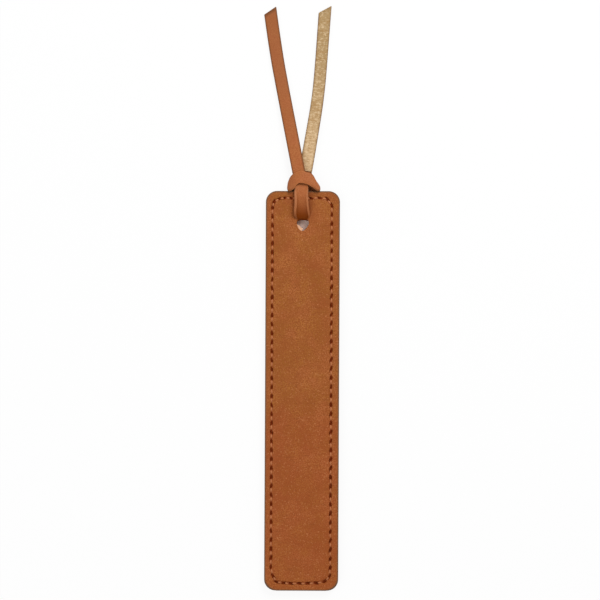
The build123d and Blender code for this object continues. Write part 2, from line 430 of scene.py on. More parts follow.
# %% [markdown]
# ## The leather panels
#
# A panel is a flat sheet with rounded corners. Its face is built in rows that follow the
# outline, because all that shapes it does too: the rounded edge, the pressed channel of the
# seam and the pits that the needle pulled into the leather. A plane gets its corners bevelled
# and loses its face, so that only the outline's own edges are divided. The outline is filled
# again and inset again and again. The heights are set later, from the distance to the outline
# and to the seam. The low corners are a little rounder than the CAD model's, as in the
# photograph.

# %% Panel outline and rows
top_corner = 4.2 * mm
low_corner = 5.0 * mm
corner_segments = 20
side_cuts = (5, 93)
end_cuts = (1, 38)
# gaps between the rows from the edge inwards in mm, fine at the edge and across the seam
row_gaps = [0.07, 0.1, 0.14, 0.19, 0.25, 0.3, 0.35, 0.3] + [0.135] * 16 + [0.2]


def select_edges(piece, wanted):
    """In edit mode, selects only the edges for which wanted(edge) is true."""
    bpy.ops.mesh.select_mode(type="EDGE")
    bpy.ops.mesh.select_all(action="DESELECT")
    edit = bmesh.from_edit_mesh(piece.data)
    for edge in edit.edges:
        edge.select_set(wanted(edge))
    bmesh.update_edit_mesh(piece.data)


def leather_sheet(name):
    """A flat open panel at the front face's level, with rows that follow its outline."""
    bpy.ops.object.select_all(action="DESELECT")
    bpy.ops.mesh.primitive_plane_add(size=1, location=(0, strip_y, face_level))
    sheet = bpy.context.object
    sheet.name = name
    sheet.data.name = name
    sheet.scale = (strip_width, strip_length, 1)
    bpy.ops.object.transform_apply(location=True, rotation=True, scale=True)
    bpy.ops.object.mode_set(mode="EDIT")
    bpy.ops.mesh.select_mode(type="VERT")
    for side, radius in ((1, top_corner), (-1, low_corner)):
        bpy.ops.mesh.select_all(action="DESELECT")
        edit = bmesh.from_edit_mesh(sheet.data)
        for corner in edit.verts:
            corner.select_set((corner.co.y - strip_y) * side > 0)
        bmesh.update_edit_mesh(sheet.data)
        bpy.ops.mesh.bevel(offset=radius, segments=corner_segments, affect="VERTICES")
    bpy.ops.mesh.select_all(action="SELECT")
    bpy.ops.mesh.delete(type="ONLY_FACE")
    longest_end = strip_width
    shortest_end = strip_width / 4
    select_edges(sheet, lambda edge: edge.calc_length() > longest_end)
    for count in side_cuts:
        bpy.ops.mesh.subdivide(number_cuts=count)
    select_edges(sheet, lambda edge: shortest_end < edge.calc_length() < longest_end)
    for count in end_cuts:
        bpy.ops.mesh.subdivide(number_cuts=count)
    bpy.ops.mesh.select_all(action="SELECT")
    bpy.ops.mesh.edge_face_add()
    bpy.ops.mesh.select_mode(type="FACE")
    for gap in row_gaps:
        bpy.ops.mesh.inset(thickness=gap * mm, depth=0.0)
    bpy.ops.mesh.delete(type="ONLY_FACE")
    return sheet


front_leather = leather_sheet("front_panel_dressed")
print("panel rows", len(row_gaps))

# %% [markdown]
# The sheet is still in edit mode and open in its middle. A Boolean could cut the lace hole, but
# on so fine a mesh that is slow and needs a lot of memory. Instead a circle goes into the open
# middle, and Fill closes the face between the rows and the circle. The circle is then drawn down
# into the hole in small steps, because the lace has worn its rim round, and the outer wall and
# the underside close the panel.

# %% Hole and walls
hole_radius = 2.7 * mm
hole_sides = 72
rim_round = 0.35 * mm
rim_radius = hole_radius + rim_round
rim_steps = 4
underside = face_level - panel_thickness
slack = 0.05 * mm


def from_hole(place):
    """How far a place is from the middle of the hole, seen from above."""
    return math.hypot(place.x, place.y - hole_y)


def on_rim(edge):
    """True for an edge of the circle round the hole."""
    return all(abs(from_hole(end.co) - rim_radius) < slack for end in edge.verts)


def in_middle(edge):
    """True for an edge of the innermost row, or further in."""
    place = edge.verts[0].co
    reach = sum(row_gaps) * mm - slack
    return abs(place.x) < strip_width / 2 - reach and abs(place.y - strip_y) < strip_length / 2 - reach


def on_border(edge, level):
    """True for an edge with one face only, at this level."""
    return len(edge.link_faces) == 1 and abs(edge.verts[0].co.z - level) < slack


def extrude_down(depth):
    """Extrudes what is selected straight down."""
    bpy.ops.mesh.extrude_region_move(TRANSFORM_OT_translate={"value": (0, 0, -depth)})


def close_panel(sheet):
    """Makes the hole with its worn rim, the outer wall and the underside."""
    hole_place = (0, hole_y, face_level)
    bpy.ops.mesh.primitive_circle_add(vertices=hole_sides, radius=rim_radius, location=hole_place)
    select_edges(sheet, lambda edge: len(edge.link_faces) < 2 and in_middle(edge))
    bpy.ops.mesh.fill(use_beauty=True)
    select_edges(sheet, on_rim)
    step_turn = math.pi / 2 / rim_steps
    wide = rim_radius
    for step in range(1, rim_steps + 1):
        turn = math.pi / 2 * step / rim_steps
        narrow = hole_radius + rim_round * (1 - math.sin(turn))
        extrude_down(rim_round * (math.cos(turn - step_turn) - math.cos(turn)))
        bpy.ops.transform.resize(value=(narrow / wide, narrow / wide, 1), center_override=hole_place)
        wide = narrow
    extrude_down(panel_thickness - rim_round)
    select_edges(sheet, lambda edge: on_border(edge, face_level))
    extrude_down(panel_thickness)
    select_edges(sheet, lambda edge: on_border(edge, underside))
    bpy.ops.mesh.fill(use_beauty=True)


close_panel(front_leather)
print("hole radius", round(hole_radius / mm, 2), "mm, at the rim", round(rim_radius / mm, 2), "mm")

# %% [markdown]
# The pull of the lace has left the hole narrow and pointed below, with the point a little to the
# left. The low left part of its wall leans in, so its pale cut shows. A mark on the wall's
# points tells the finish where that cut is.

# %% Worn hole
hole_narrowing = 0.84
hole_point = 0.38
hole_skew = 0.3 * mm
wall_lean = 0.95 * mm
lean_gain = 2.5


def wear_hole(sheet):
    """Pulls the points of the hole to its worn shape, marks its wall and leaves edit mode."""
    edit = bmesh.from_edit_mesh(sheet.data)
    wall = edit.verts.layers.float.new("cut_wall")
    for point in edit.verts:
        if from_hole(point.co) > rim_radius + slack:
            continue
        below = min(1.0, max(0.0, (hole_y - point.co.y) / hole_radius))
        point[wall] = float(point.co.z < face_level - rim_round + slack)
        if point.co.z < underside + slack and point.co.x < 0:
            lean = wall_lean * min(1.0, lean_gain * below)
            point.co.x += lean
            point.co.y += lean * below
        point.co.x *= hole_narrowing * (1 - hole_point * (1 - math.sqrt((1 - below) / (1 + below))))
        point.co.x -= hole_skew * below
    bmesh.update_edit_mesh(sheet.data)
    bpy.ops.mesh.select_all(action="SELECT")
    bpy.ops.mesh.normals_make_consistent(inside=False)
    bpy.ops.object.mode_set(mode="OBJECT")


wear_hole(front_leather)
print("panel faces", len(front_leather.data.polygons))

# %% [markdown]
# The seam has a hundred needle holes, as in the CAD model: an even row down each side, and
# uneven ones round the two ends, where the sewer turned the strip by hand. The line runs a
# little nearer to the left edge than to the right one.

# %% Seam holes
# places across and above the strip's top edge, in mm
left_column = ((-11.4, -6.4), (-11.4, -141.2))
right_column = ((10.85, -141.5), (10.85, -5.6))
column_holes = 41
low_end = [
    (-10.5, -144.7), (-9.2, -146.7), (-6.5, -147.1), (-3.9, -147.3), (-0.5, -147.3),
    (2.6, -147.2), (5.7, -147.1), (8.8, -146.5), (10.6, -144.6),
]
top_end = [
    (9.2, -3.1), (6.2, -2.6), (2.8, -2.7), (0.4, -2.7), (-2.1, -2.7),
    (-4.6, -2.7), (-7.0, -2.7), (-8.9, -3.0), (-10.9, -4.3),
]


def column_of_holes(start, end):
    """Needle holes at an even stitch down one side."""
    share = np.linspace(0, 1, column_holes)[:, None]
    return np.array(start) + (np.array(end) - np.array(start)) * share


def seam_holes():
    """Every hole in order round the strip, and the seam's heading at each."""
    holes = np.vstack([low_end, column_of_holes(*right_column), top_end, column_of_holes(*left_column)])
    holes = holes * mm + np.array([0.0, top_edge])
    before = unit(holes - np.roll(holes, 1, axis=0))
    after = unit(np.roll(holes, -1, axis=0) - holes)
    return holes, unit(before + after)


holes, headings = seam_holes()
print("needle holes", len(holes))

# %% [markdown]
# At each needle hole the thread pulled the leather down into a long bowl. The needle cut the
# holes a little aslant, more so on the right, and no two are quite alike, so each bowl gets a
# lean and a size of its own from a seeded draw.

# %% Needle pits
pit_half_length = 1.20 * mm
pit_half_width = 0.50 * mm
pit_fade = (0.55, 1.15)
pit_lean = -4.0
pit_lean_change = -6.0 / 11.0
lean_spread = 14.0
size_spread = 0.18
uneven = np.random.default_rng(7)
hole_leans = pit_lean + pit_lean_change * holes[:, 0] / mm
hole_leans = np.radians(hole_leans + uneven.uniform(-lean_spread, lean_spread, len(holes)))
hole_sizes = uneven.uniform(1 - size_spread, 1 + size_spread, (len(holes), 2))


def smooth_step(value, low, high):
    """0 below low and 1 above high, with a smooth rise between them."""
    share = np.clip((value - low) / (high - low), 0, 1)
    return share * share * (3 - 2 * share)


def pit_reach(x, y):
    """1 in the middle of a needle pit and 0 at its rim or beyond."""
    nearest = np.full(len(x), np.inf)
    for hole, heading, lean, (longer, wider) in zip(holes, headings, hole_leans, hole_sizes):
        ahead_x = heading[0] * math.cos(lean) - heading[1] * math.sin(lean)
        ahead_y = heading[0] * math.sin(lean) + heading[1] * math.cos(lean)
        dx = x - hole[0]
        dy = y - hole[1]
        along = (dx * ahead_x + dy * ahead_y) / (pit_half_length * longer)
        aside = (dx * ahead_y - dy * ahead_x) / (pit_half_width * wider)
        nearest = np.minimum(nearest, np.hypot(along, aside))
    return 1 - smooth_step(nearest, *pit_fade)


print("pit leans", [round(math.degrees(lean), 1) for lean in hole_leans[:3]], "and on")

# %% [markdown]
# Three shapes are added up to set the face's height: a quarter round along the outline, a soft
# channel along the seam, and the bowls. Inside the seam the leather swells a little. How deep a
# point lies in a bowl is also kept as a mark, which the leather's finish reads to paint shade into
# the bowl. Two more say where the painted rim is, and where a painted shadow runs along the low end.

# %% Distances on the face
groove_offset = 0.5 * mm
groove_half = 0.28 * mm
groove_fade = (8.4 * mm, 9.4 * mm)


def distance_inside(x, y):
    """How far a point lies inside the panel's outline."""
    corner = np.where(y > strip_y, top_corner, low_corner)
    across = np.abs(x) - (strip_width / 2 - corner)
    along = np.abs(y - strip_y) - (strip_length / 2 - corner)
    past = np.hypot(np.maximum(across, 0), np.maximum(along, 0))
    return corner - past - np.minimum(np.maximum(across, along), 0)


def distance_to_stitch(x, y, start, end):
    """Distance from the straight stitch between two holes."""
    run = np.array(end) - np.array(start)
    share = np.clip(((x - start[0]) * run[0] + (y - start[1]) * run[1]) / run.dot(run), 0, 1)
    return np.hypot(x - start[0] - run[0] * share, y - start[1] - run[1] * share)


def distance_to_seam(x, y):
    """Distance from the line that runs through all the holes in order."""
    stitches = zip(holes, np.roll(holes, -1, axis=0))
    return np.min([distance_to_stitch(x, y, *stitch) for stitch in stitches], axis=0)


def low_groove(x, y):
    """1 on the line of painted shadow just inside the low end's stitches, and 0 away from it."""
    row = np.array(low_end) * mm + np.array([0.0, top_edge])
    crease = np.interp(x, row[:, 0], row[:, 1]) + groove_offset
    return np.exp(-((y - crease) / groove_half) ** 2) * (1 - smooth_step(np.abs(x), *groove_fade))


seam_inset = distance_inside(holes[:, 0], holes[:, 1]) / mm
print("needle holes", round(seam_inset.min(), 2), "to", round(seam_inset.max(), 2), "mm from the edge")

# %% Face heights
edge_round = 0.4 * mm
channel_depth = 0.10 * mm
channel_half = 0.90 * mm
pit_depth = 0.70 * mm
swell = 0.06 * mm
swell_fade = (3.2 * mm, 4.2 * mm)
rim_fade = (0.1 * mm, 0.8 * mm)
merge_distance = 0.001 * mm


def press_face(sheet):
    """Sets the height of every point on a panel's face and keeps where its pits and edges are."""
    places = np.empty(len(sheet.data.vertices) * 3, dtype=np.float32)
    sheet.data.vertices.foreach_get("co", places)
    places = places.reshape(-1, 3).astype(float)
    x, y, z = places.T
    on_face = np.abs(z - face_level) < merge_distance
    inside = np.clip(distance_inside(x, y), 0, None)
    pit = pit_reach(x, y)
    near = np.clip(edge_round - inside, 0, edge_round)
    rounding = edge_round - np.sqrt(edge_round ** 2 - near ** 2)
    channel = channel_depth * np.exp(-(distance_to_seam(x, y) / channel_half) ** 2)
    raised = swell * smooth_step(inside, *swell_fade)
    heights = face_level - rounding - channel - pit_depth * pit + raised - swell
    places[:, 2] = np.where(on_face, heights, z)
    sheet.data.vertices.foreach_set("co", places.astype(np.float32).ravel())
    keep_mark(sheet, "pit", pit * on_face)
    keep_mark(sheet, "rim", 1 - smooth_step(inside, *rim_fade))
    keep_mark(sheet, "groove", low_groove(x, y) * on_face)
    sheet.data.update()


press_face(front_leather)
bpy.ops.object.select_all(action="DESELECT")
front_leather.select_set(True)
bpy.context.view_layer.objects.active = front_leather
bpy.ops.object.shade_smooth_by_angle(angle=math.radians(60))
print("pressed", len(front_leather.data.vertices), "points")

# %% [markdown]
# The back panel is the same cut turned over. A copy is mirrored through the middle layer, and
# because a mirror turns a mesh inside out, its normals are made consistent again.

# %% Back panel
bpy.ops.object.duplicate(linked=False)
back_leather = bpy.context.object
back_leather.name = "back_panel_dressed"
back_leather.data.name = "back_panel_dressed"
back_leather.data.transform(Matrix.Translation((0, 0, 2 * mid_level)) @ Matrix.Scale(-1, 4, (0, 0, 1)))
bpy.ops.object.mode_set(mode="EDIT")
bpy.ops.mesh.select_all(action="SELECT")
bpy.ops.mesh.normals_make_consistent(inside=False)
bpy.ops.object.mode_set(mode="OBJECT")
print("back panel from", round(min(v.co.z for v in back_leather.data.vertices) / mm, 2), "mm")

# %% [markdown]
# ## The thread
#
# The seam is sewn with a thread of three twisted plies. Its section is a closed outline of three
# lobes, which is turned steadily along the thread's line to give the twist. That is far lighter
# than three separate strands.

# %% Thread section
thread_radius = 0.40 * mm
strand_count = 3
lobe_depth = 0.13
profile_points = 12


def thread_profile():
    """The three-lobed section of the thread, as a flat closed curve."""
    data = bpy.data.curves.new("thread_profile", "CURVE")
    data.dimensions = "2D"
    spline = data.splines.new("POLY")
    spline.points.add(profile_points - 1)
    for number, point in enumerate(spline.points):
        angle = 2 * math.pi * number / profile_points
        radius = thread_radius * (1 - lobe_depth + lobe_depth * math.cos(strand_count * angle))
        point.co = (radius * math.cos(angle), radius * math.sin(angle), 0, 1)
    spline.use_cyclic_u = True
    holder = bpy.data.objects.new("thread_profile", data)
    bpy.context.scene.collection.objects.link(holder)
    return holder


profile = thread_profile()
print("points in the thread's section", profile_points)

# %% [markdown]
# Each stitch is a short hump of thread between two pits. It comes out of its hole steeply and
# sinks slowly towards the next one. One closed curve goes round the seam and dips into every
# hole, with the section along it, and is then made a mesh. How deep the thread lies is kept as a
# mark, so that its finish paints shade into it where it sinks, as in the pits.

# %% Threads
thread_crest = -0.20 * mm
thread_dip = -1.10 * mm
stitch_steps = 14
hole_shift = 0.12
crest_share = 0.26
sink_power = 1.2
twist_pitch = 1.1 * mm
sunk_fade = (0.04 * mm, 0.34 * mm)


def stitch_rise(share):
    """How far the thread has risen out of its hole, from 0 to 1, at a share of a stitch."""
    since = (share - hole_shift) % 1.0
    if since < crest_share:
        return 1 - (1 - since / crest_share) ** 2
    return 1 - ((since - crest_share) / (1 - crest_share)) ** sink_power


def lay_stitches(spline, side):
    """Sets a spline's points along the seam, dipping at every hole and twisting steadily."""
    run = 0.0
    for number, hole in enumerate(holes):
        step = holes[(number + 1) % len(holes)] - hole
        for part in range(stitch_steps):
            share = part / stitch_steps
            rise = stitch_rise(1 - share if step[1] > abs(step[0]) else share)
            height = face_level - mid_level + thread_dip + (thread_crest - thread_dip) * rise
            place = hole + step * share
            point = spline.points[number * stitch_steps + part]
            point.co = (place[0], place[1], mid_level + side * height, 1)
            point.tilt = 2 * math.pi * run / twist_pitch
            run += float(np.linalg.norm(step)) / stitch_steps


def seam_thread(name, side):
    """One closed thread round the seam, on the front for side 1 and the back for side -1."""
    data = bpy.data.curves.new(name, "CURVE")
    data.dimensions = "3D"
    data.bevel_mode = "OBJECT"
    data.bevel_object = profile
    data.twist_mode = "Z_UP"
    spline = data.splines.new("POLY")
    spline.points.add(len(holes) * stitch_steps - 1)
    spline.use_cyclic_u = True
    lay_stitches(spline, side)
    thread = bpy.data.objects.new(name, data)
    bpy.context.scene.collection.objects.link(thread)
    bpy.ops.object.select_all(action="DESELECT")
    thread.select_set(True)
    bpy.context.view_layer.objects.active = thread
    bpy.ops.object.convert(target="MESH")
    thread = bpy.context.object
    thread.name = name
    bpy.ops.object.mode_set(mode="EDIT")
    bpy.ops.mesh.select_all(action="SELECT")
    bpy.ops.mesh.remove_doubles(threshold=merge_distance)
    bpy.ops.mesh.normals_make_consistent(inside=False)
    bpy.ops.object.mode_set(mode="OBJECT")
    bpy.ops.object.shade_smooth()
    heights = np.array([side * (vertex.co.z - mid_level) for vertex in thread.data.vertices])
    rings = heights.reshape(-1, profile_points).mean(axis=1)
    sunk = smooth_step(face_level - mid_level + thread_crest - rings, *sunk_fade)
    keep_mark(thread, "pit", np.repeat(sunk, profile_points))
    return thread


front_thread = seam_thread("needle_thread_dressed", 1)
back_thread = seam_thread("bobbin_thread_dressed", -1)
bpy.data.objects.remove(profile)
print("thread faces", len(front_thread.data.polygons))

# %% [markdown]
# ## Finishes
#
# Pictures could give the leather its colours, but patterns of noise stay sharp from near by and
# need no file. A finish mixes colours one over the other, each by a pattern or by a mark on the
# mesh. A few helpers make the nodes, so that a finish below reads as a list of what lies on
# what. Colours are written in the 0 to 255 steps of a screen.

# %% Colours and node helpers


def dye(red, green, blue):
    """A colour read in 0 to 255 screen steps, made linear for the shader by the sRGB curve."""
    steps = [value / 255 for value in (red, green, blue)]
    return tuple(s / 12.92 if s <= 0.04045 else ((s + 0.055) / 1.055) ** 2.4 for s in steps) + (1.0,)


def feed(tree, value, socket):
    """Links a socket to an input, or sets the input to a plain value."""
    if hasattr(value, "is_output"):
        tree.links.new(value, socket)
    else:
        socket.default_value = value


def add_node(tree, kind, label, **values):
    """A node whose inputs, named with underscores, get these sockets or values."""
    node = tree.nodes.new(kind)
    node.label = label
    for name, value in values.items():
        feed(tree, value, node.inputs[name.replace("_", " ")])
    return node


def blend_colours(tree, label, share, first, second):
    """A colour mix; share, first and second are sockets or values."""
    node = tree.nodes.new("ShaderNodeMix")
    node.label = label
    node.data_type = "RGBA"
    # the node has sockets for every type of value, and these are the ones for colours
    for socket, value in ((node.inputs[0], share), (node.inputs[6], first), (node.inputs[7], second)):
        feed(tree, value, socket)
    return node.outputs[2]


def add_noise(tree, label, place, scale, detail=2.0, roughness=0.5, w=0.0):
    """A noise over a place; scale is a socket or a value, and w gives each noise its own pattern."""
    node = tree.nodes.new("ShaderNodeTexNoise")
    node.label = label
    node.noise_dimensions = "4D"
    settings = {"Vector": place, "W": w, "Scale": scale, "Detail": detail, "Roughness": roughness}
    for name, value in settings.items():
        feed(tree, value, node.inputs[name])
    return node.outputs["Fac"]


print("tan leather as linear colour", [round(value, 3) for value in dye(174, 102, 56)])

# %% [markdown]
# ### Cut edges, thread and board
#
# These three are fibre of two colours, mixed by one fine noise. The lace's cut edges are painted
# pale on the strap, a painted highlight where they turn up to the light, and painted dark on the
# knot and the tails as painted shade. The thread has the leather's own colour. The board is seen
# only as a thin line between the panels.

# %% Fibres


def new_finish(name, roughness, specular):
    """An empty material with its shader and the piece's own coordinates."""
    finish = bpy.data.materials.new(name)
    finish.use_nodes = True
    tree = finish.node_tree
    shader = tree.nodes["Principled BSDF"]
    shader.inputs["Roughness"].default_value = roughness
    shader.inputs["Specular IOR Level"].default_value = specular
    place = tree.nodes.new("ShaderNodeTexCoord").outputs["Object"]
    return finish, tree, shader, place


def attribute(tree, name):
    """A mark that is kept on the mesh."""
    node = tree.nodes.new("ShaderNodeAttribute")
    node.attribute_name = name
    return node.outputs["Fac"]


def add_bump(tree, shader, height, strength, depth):
    """Gives the shader a relief of this height."""
    bump = add_node(tree, "ShaderNodeBump", "relief", Height=height, Strength=strength, Distance=depth)
    tree.links.new(bump.outputs["Normal"], shader.inputs["Normal"])


def fibre_finish(name, roughness, specular, scale, detail, dark, light):
    """A material with fibre between two colours, and what its maker needs to go on with it."""
    finish, tree, shader, place = new_finish(name, roughness, specular)
    fibre = add_noise(tree, "fibre", place, scale, detail)
    return finish, tree, shader, fibre, blend_colours(tree, "fibre colour", fibre, dark, light)


def cut_edge(name, dark, light):
    """A cut edge of the lace, with painted shade where the strap dives into the hole."""
    finish, tree, shader, fibre, colour = fibre_finish(name, 0.8, 0.05, 1500.0, 4.0, dark, light)
    # painted shade on the cut edges where the strap dives into the hole
    colour = blend_colours(tree, "painted dive shade", attribute(tree, "dive"), colour, dye(152, 90, 52))
    tree.links.new(colour, shader.inputs["Base Color"])
    add_bump(tree, shader, fibre, 0.4, 0.12 * mm)
    return finish


def sewing_thread(name, dark, light):
    """Twisted thread with small breaks in its colour, painted dark as painted shade where it sinks."""
    finish, tree, shader, fibre, colour = fibre_finish(name, 0.6, 0.1, 3200.0, 3.0, dark, light)
    # painted shade on the thread where it sinks into the needle pits
    colour = blend_colours(tree, "needle pits", attribute(tree, "pit"), colour, dye(118, 42, 6))
    tree.links.new(colour, shader.inputs["Base Color"])
    add_bump(tree, shader, fibre, 0.3, 0.05 * mm)
    return finish


def board(name, dark, light):
    """Plain brown board."""
    finish, tree, shader, _, colour = fibre_finish(name, 0.9, 0.2, 2500.0, 3.0, dark, light)
    tree.links.new(colour, shader.inputs["Base Color"])
    return finish


# lit and shaded copies of one cut edge: pale as painted highlight, dark as painted shade
pale_edge_finish = cut_edge("pale_edge_finish", dye(172, 105, 65), dye(198, 131, 90))
shaded_edge_finish = cut_edge("shaded_edge_finish", dye(108, 68, 38), dye(144, 98, 62))
thread_finish = sewing_thread("sewing_thread_finish", dye(164, 96, 56), dye(200, 130, 88))
board_finish = board("board_finish", dye(104, 66, 42), dye(128, 84, 54))
print("finishes so far", len(bpy.data.materials))

# %% [markdown]
# ### Leather grain
#
# The strip and the smooth side of the lace have one kind of grain: tiny pebbles with creases
# between them, and broad clouds where the dye took more or less. That is a node group, placed in
# both leathers with scales of their own. Object coordinates are metres, so a scale of 1000 is
# one cell per millimetre.

# %% Leather grain group
crease_depth = -0.6


def map_range(tree, label, value, low, high, to_low, to_high):
    """A value taken smoothly from the range low to high to another range."""
    limits = {"From_Min": low, "From_Max": high, "To_Min": to_low, "To_Max": to_high}
    node = add_node(tree, "ShaderNodeMapRange", label, **limits)
    node.interpolation_type = "SMOOTHSTEP"
    tree.links.new(value, node.inputs["Value"])
    return node.outputs["Result"]


def math_node(tree, operation, *values):
    """The result of a math node on these sockets or values."""
    node = tree.nodes.new("ShaderNodeMath")
    node.operation = operation
    for socket, value in zip(node.inputs, values):
        feed(tree, value, socket)
    return node.outputs[0]


def make_leather_grain():
    """Pebbles and creases of grain, and clouds and tints of dye, over the given coordinates."""
    tree = bpy.data.node_groups.new("leather_grain", "ShaderNodeTree")
    sockets = tree.interface
    sockets.new_socket("Vector", in_out="INPUT", socket_type="NodeSocketVector")
    for name in ("Pebble Scale", "Cloud Scale", "Tint Scale"):
        sockets.new_socket(name, in_out="INPUT", socket_type="NodeSocketFloat")
    given = tree.nodes.new("NodeGroupInput").outputs
    place = given["Vector"]
    pebble_scale = given["Pebble Scale"]
    uneven_pebbles = add_noise(tree, "uneven pebbles", place, pebble_scale)
    pebbles = add_node(tree, "ShaderNodeTexVoronoi", "pebbles", Vector=place, Scale=pebble_scale)
    crease = map_range(tree, "creases", pebbles.outputs["Distance"], 0.25, 0.75, 0.0, 1.0)
    cloud = add_noise(tree, "clouds of dye", place, given["Cloud Scale"], 4.0, 0.6, 1.0)
    tint = add_noise(tree, "red and ochre patches", place, given["Tint Scale"], 2.0, 0.5, 2.0)
    speck = add_noise(tree, "rubbed specks", place, pebble_scale, 1.0, 0.5, 3.0)
    results = {
        "Height": math_node(tree, "MULTIPLY_ADD", crease, crease_depth, uneven_pebbles),
        "Crease": crease,
        "Cloud": map_range(tree, "cloud", cloud, 0.3, 0.7, 0.0, 1.0),
        "Tint": map_range(tree, "tint", tint, 0.35, 0.65, 0.0, 1.0),
        "Speck": map_range(tree, "speck", speck, 0.57, 0.74, 0.0, 1.0),
    }
    for name in results:
        sockets.new_socket(name, in_out="OUTPUT", socket_type="NodeSocketFloat")
    put_out = tree.nodes.new("NodeGroupOutput").inputs
    for name, result in results.items():
        tree.links.new(result, put_out[name])
    return tree


leather_grain = make_leather_grain()
print("group", leather_grain.name)

# %% [markdown]
# ### The strip's leather
#
# The strip is fine-grained tan leather, a little redder in its low half, with fine streaks
# across it and pale rubbed specks. Painted shade darkens it on both sides of the strap above the
# hole, in the needle pits and in a line along the low end's stitches. The rim is painted, and the
# wall of the hole is pale where it was cut.

# %% Strip leather
strap_middle = -0.58 * mm


def place_grain(tree, place, pebble_scale, cloud_scale, tint_scale):
    """The grain group in a material, with this leather's own scales."""
    node = tree.nodes.new("ShaderNodeGroup")
    node.node_tree = leather_grain
    for socket, value in zip(node.inputs, (place, pebble_scale, cloud_scale, tint_scale)):
        feed(tree, value, socket)
    return node.outputs


def stretch_across(tree, label, place, share):
    """Coordinates that change less across the piece, so a pattern on them is drawn out that way."""
    return add_node(tree, "ShaderNodeMapping", label, Vector=place, Scale=(share, 1.0, 1.0)).outputs[0]


def painted_strap_shade(tree, x, y):
    """Painted shade on the leather on both sides of the strap, above the hole."""
    aside = math_node(tree, "ABSOLUTE", math_node(tree, "SUBTRACT", x, strap_middle))
    beside = map_range(tree, "beside the strap", aside, 2.6 * mm, 5.6 * mm, 0.46, 0.0)
    above = map_range(tree, "above the hole", y, hole_y + 1 * mm, hole_y + 4 * mm, 0.0, 1.0)
    return math_node(tree, "MULTIPLY", beside, above)


def strip_leather():
    """Fine-grained tan leather, with painted shade in the needle pits, beside the strap and along the
    low end, and darker along the painted edge.
    """
    finish, tree, shader, place = new_finish("strip_leather_finish", 0.55, 0.1)
    grain = place_grain(tree, place, 2100.0, 110.0, 190.0)
    brown = blend_colours(tree, "brown", grain["Cloud"], dye(149, 78, 36), dye(174, 102, 56))
    ochre = blend_colours(tree, "ochre", grain["Cloud"], dye(148, 86, 33), dye(168, 104, 48))
    colour = blend_colours(tree, "dye", grain["Tint"], brown, ochre)
    colour = blend_colours(tree, "creases", grain["Crease"], colour, dye(146, 79, 34))
    parts = add_node(tree, "ShaderNodeSeparateXYZ", "across and along", Vector=place).outputs
    redder = map_range(tree, "low half", parts["Y"], strip_y - 18 * mm, strip_y + 2 * mm, 0.3, 0.0)
    colour = blend_colours(tree, "redder low half", redder, colour, dye(152, 66, 32))
    drawn_out = stretch_across(tree, "streaks run across", place, 0.2)
    streak = add_noise(tree, "streaks", drawn_out, 1500.0, 1.0)
    streak = map_range(tree, "fine streaks", streak, 0.58, 0.75, 0.0, 0.35)
    colour = blend_colours(tree, "streaks", streak, colour, dye(128, 66, 28))
    speck = map_range(tree, "speck share", grain["Speck"], 0.0, 1.0, 0.0, 0.7)
    colour = blend_colours(tree, "specks", speck, colour, dye(184, 118, 74))
    # painted shade beside the strap, where it lies close on the leather above the hole
    shade_share = painted_strap_shade(tree, parts["X"], parts["Y"])
    colour = blend_colours(tree, "painted strap shade", shade_share, colour, dye(112, 44, 12))
    # painted shadow along the low end, where the upper wall of the seam's channel is in shade
    groove = map_range(tree, "groove share", attribute(tree, "groove"), 0.0, 1.0, 0.0, 0.6)
    colour = blend_colours(tree, "low groove", groove, colour, dye(116, 48, 12))
    colour = blend_colours(tree, "edge paint", attribute(tree, "rim"), colour, dye(114, 80, 54))
    colour = blend_colours(tree, "cut wall", attribute(tree, "cut_wall"), colour, dye(228, 178, 142))
    # painted shade in the needle pits, darker the deeper a point lies
    colour = blend_colours(tree, "needle pits", attribute(tree, "pit"), colour, dye(120, 44, 8))
    tree.links.new(colour, shader.inputs["Base Color"])
    rough = map_range(tree, "sheen breaks", grain["Cloud"], 0.0, 1.0, 0.5, 0.62)
    tree.links.new(rough, shader.inputs["Roughness"])
    add_bump(tree, shader, grain["Height"], 0.35, 0.12 * mm)
    return finish


strip_finish = strip_leather()
print("nodes in the strip's leather", len(strip_finish.node_tree.nodes))

# %% [markdown]
# ### The two sides of the lace
#
# The smooth side has a finer grain and a lighter tan than the strip, with painted shade along its edges.
# Where the strap dives into the hole it turns away from the light, and it is painted dark there as
# painted shade.

# %% Smooth side


def lace_leather():
    """The lace's smooth side: finer grain, a lighter tan, painted shade on its edges and where it dives.
    """
    finish, tree, shader, place = new_finish("lace_leather_finish", 0.5, 0.1)
    grain = place_grain(tree, place, 2600.0, 160.0, 260.0)
    brown = blend_colours(tree, "brown", grain["Cloud"], dye(168, 97, 55), dye(180, 108, 66))
    ochre = blend_colours(tree, "ochre", grain["Cloud"], dye(166, 101, 54), dye(177, 111, 64))
    colour = blend_colours(tree, "dye", grain["Tint"], brown, ochre)
    colour = blend_colours(tree, "creases", grain["Crease"], colour, dye(162, 92, 50))
    # painted shade where the strap dives into the hole, away from the light
    colour = blend_colours(tree, "painted dive shade", attribute(tree, "dive"), colour, dye(120, 53, 2))
    # painted shade: the knot's left lobe and back strands, and the tails towards their tips
    painted_shade = map_range(tree, "painted_shade", attribute(tree, "painted_shade"), 0.1, 0.9, 0.0, 0.4)
    colour = blend_colours(tree, "painted_shade", painted_shade, colour, dye(142, 84, 50))
    # painted shade along the lace's edges, where it rounds over away from the light
    shade_share = map_range(tree, "edge shade share", attribute(tree, "edge"), 0.0, 1.0, 0.0, 0.85)
    colour = blend_colours(tree, "painted edge shade", shade_share, colour, dye(104, 64, 34))
    tree.links.new(colour, shader.inputs["Base Color"])
    rough = map_range(tree, "sheen breaks", grain["Cloud"], 0.0, 1.0, 0.45, 0.56)
    tree.links.new(rough, shader.inputs["Roughness"])
    add_bump(tree, shader, grain["Height"], 0.2, 0.1 * mm)
    return finish


grain_finish = lace_leather()
print("nodes in the smooth side", len(grain_finish.node_tree.nodes))
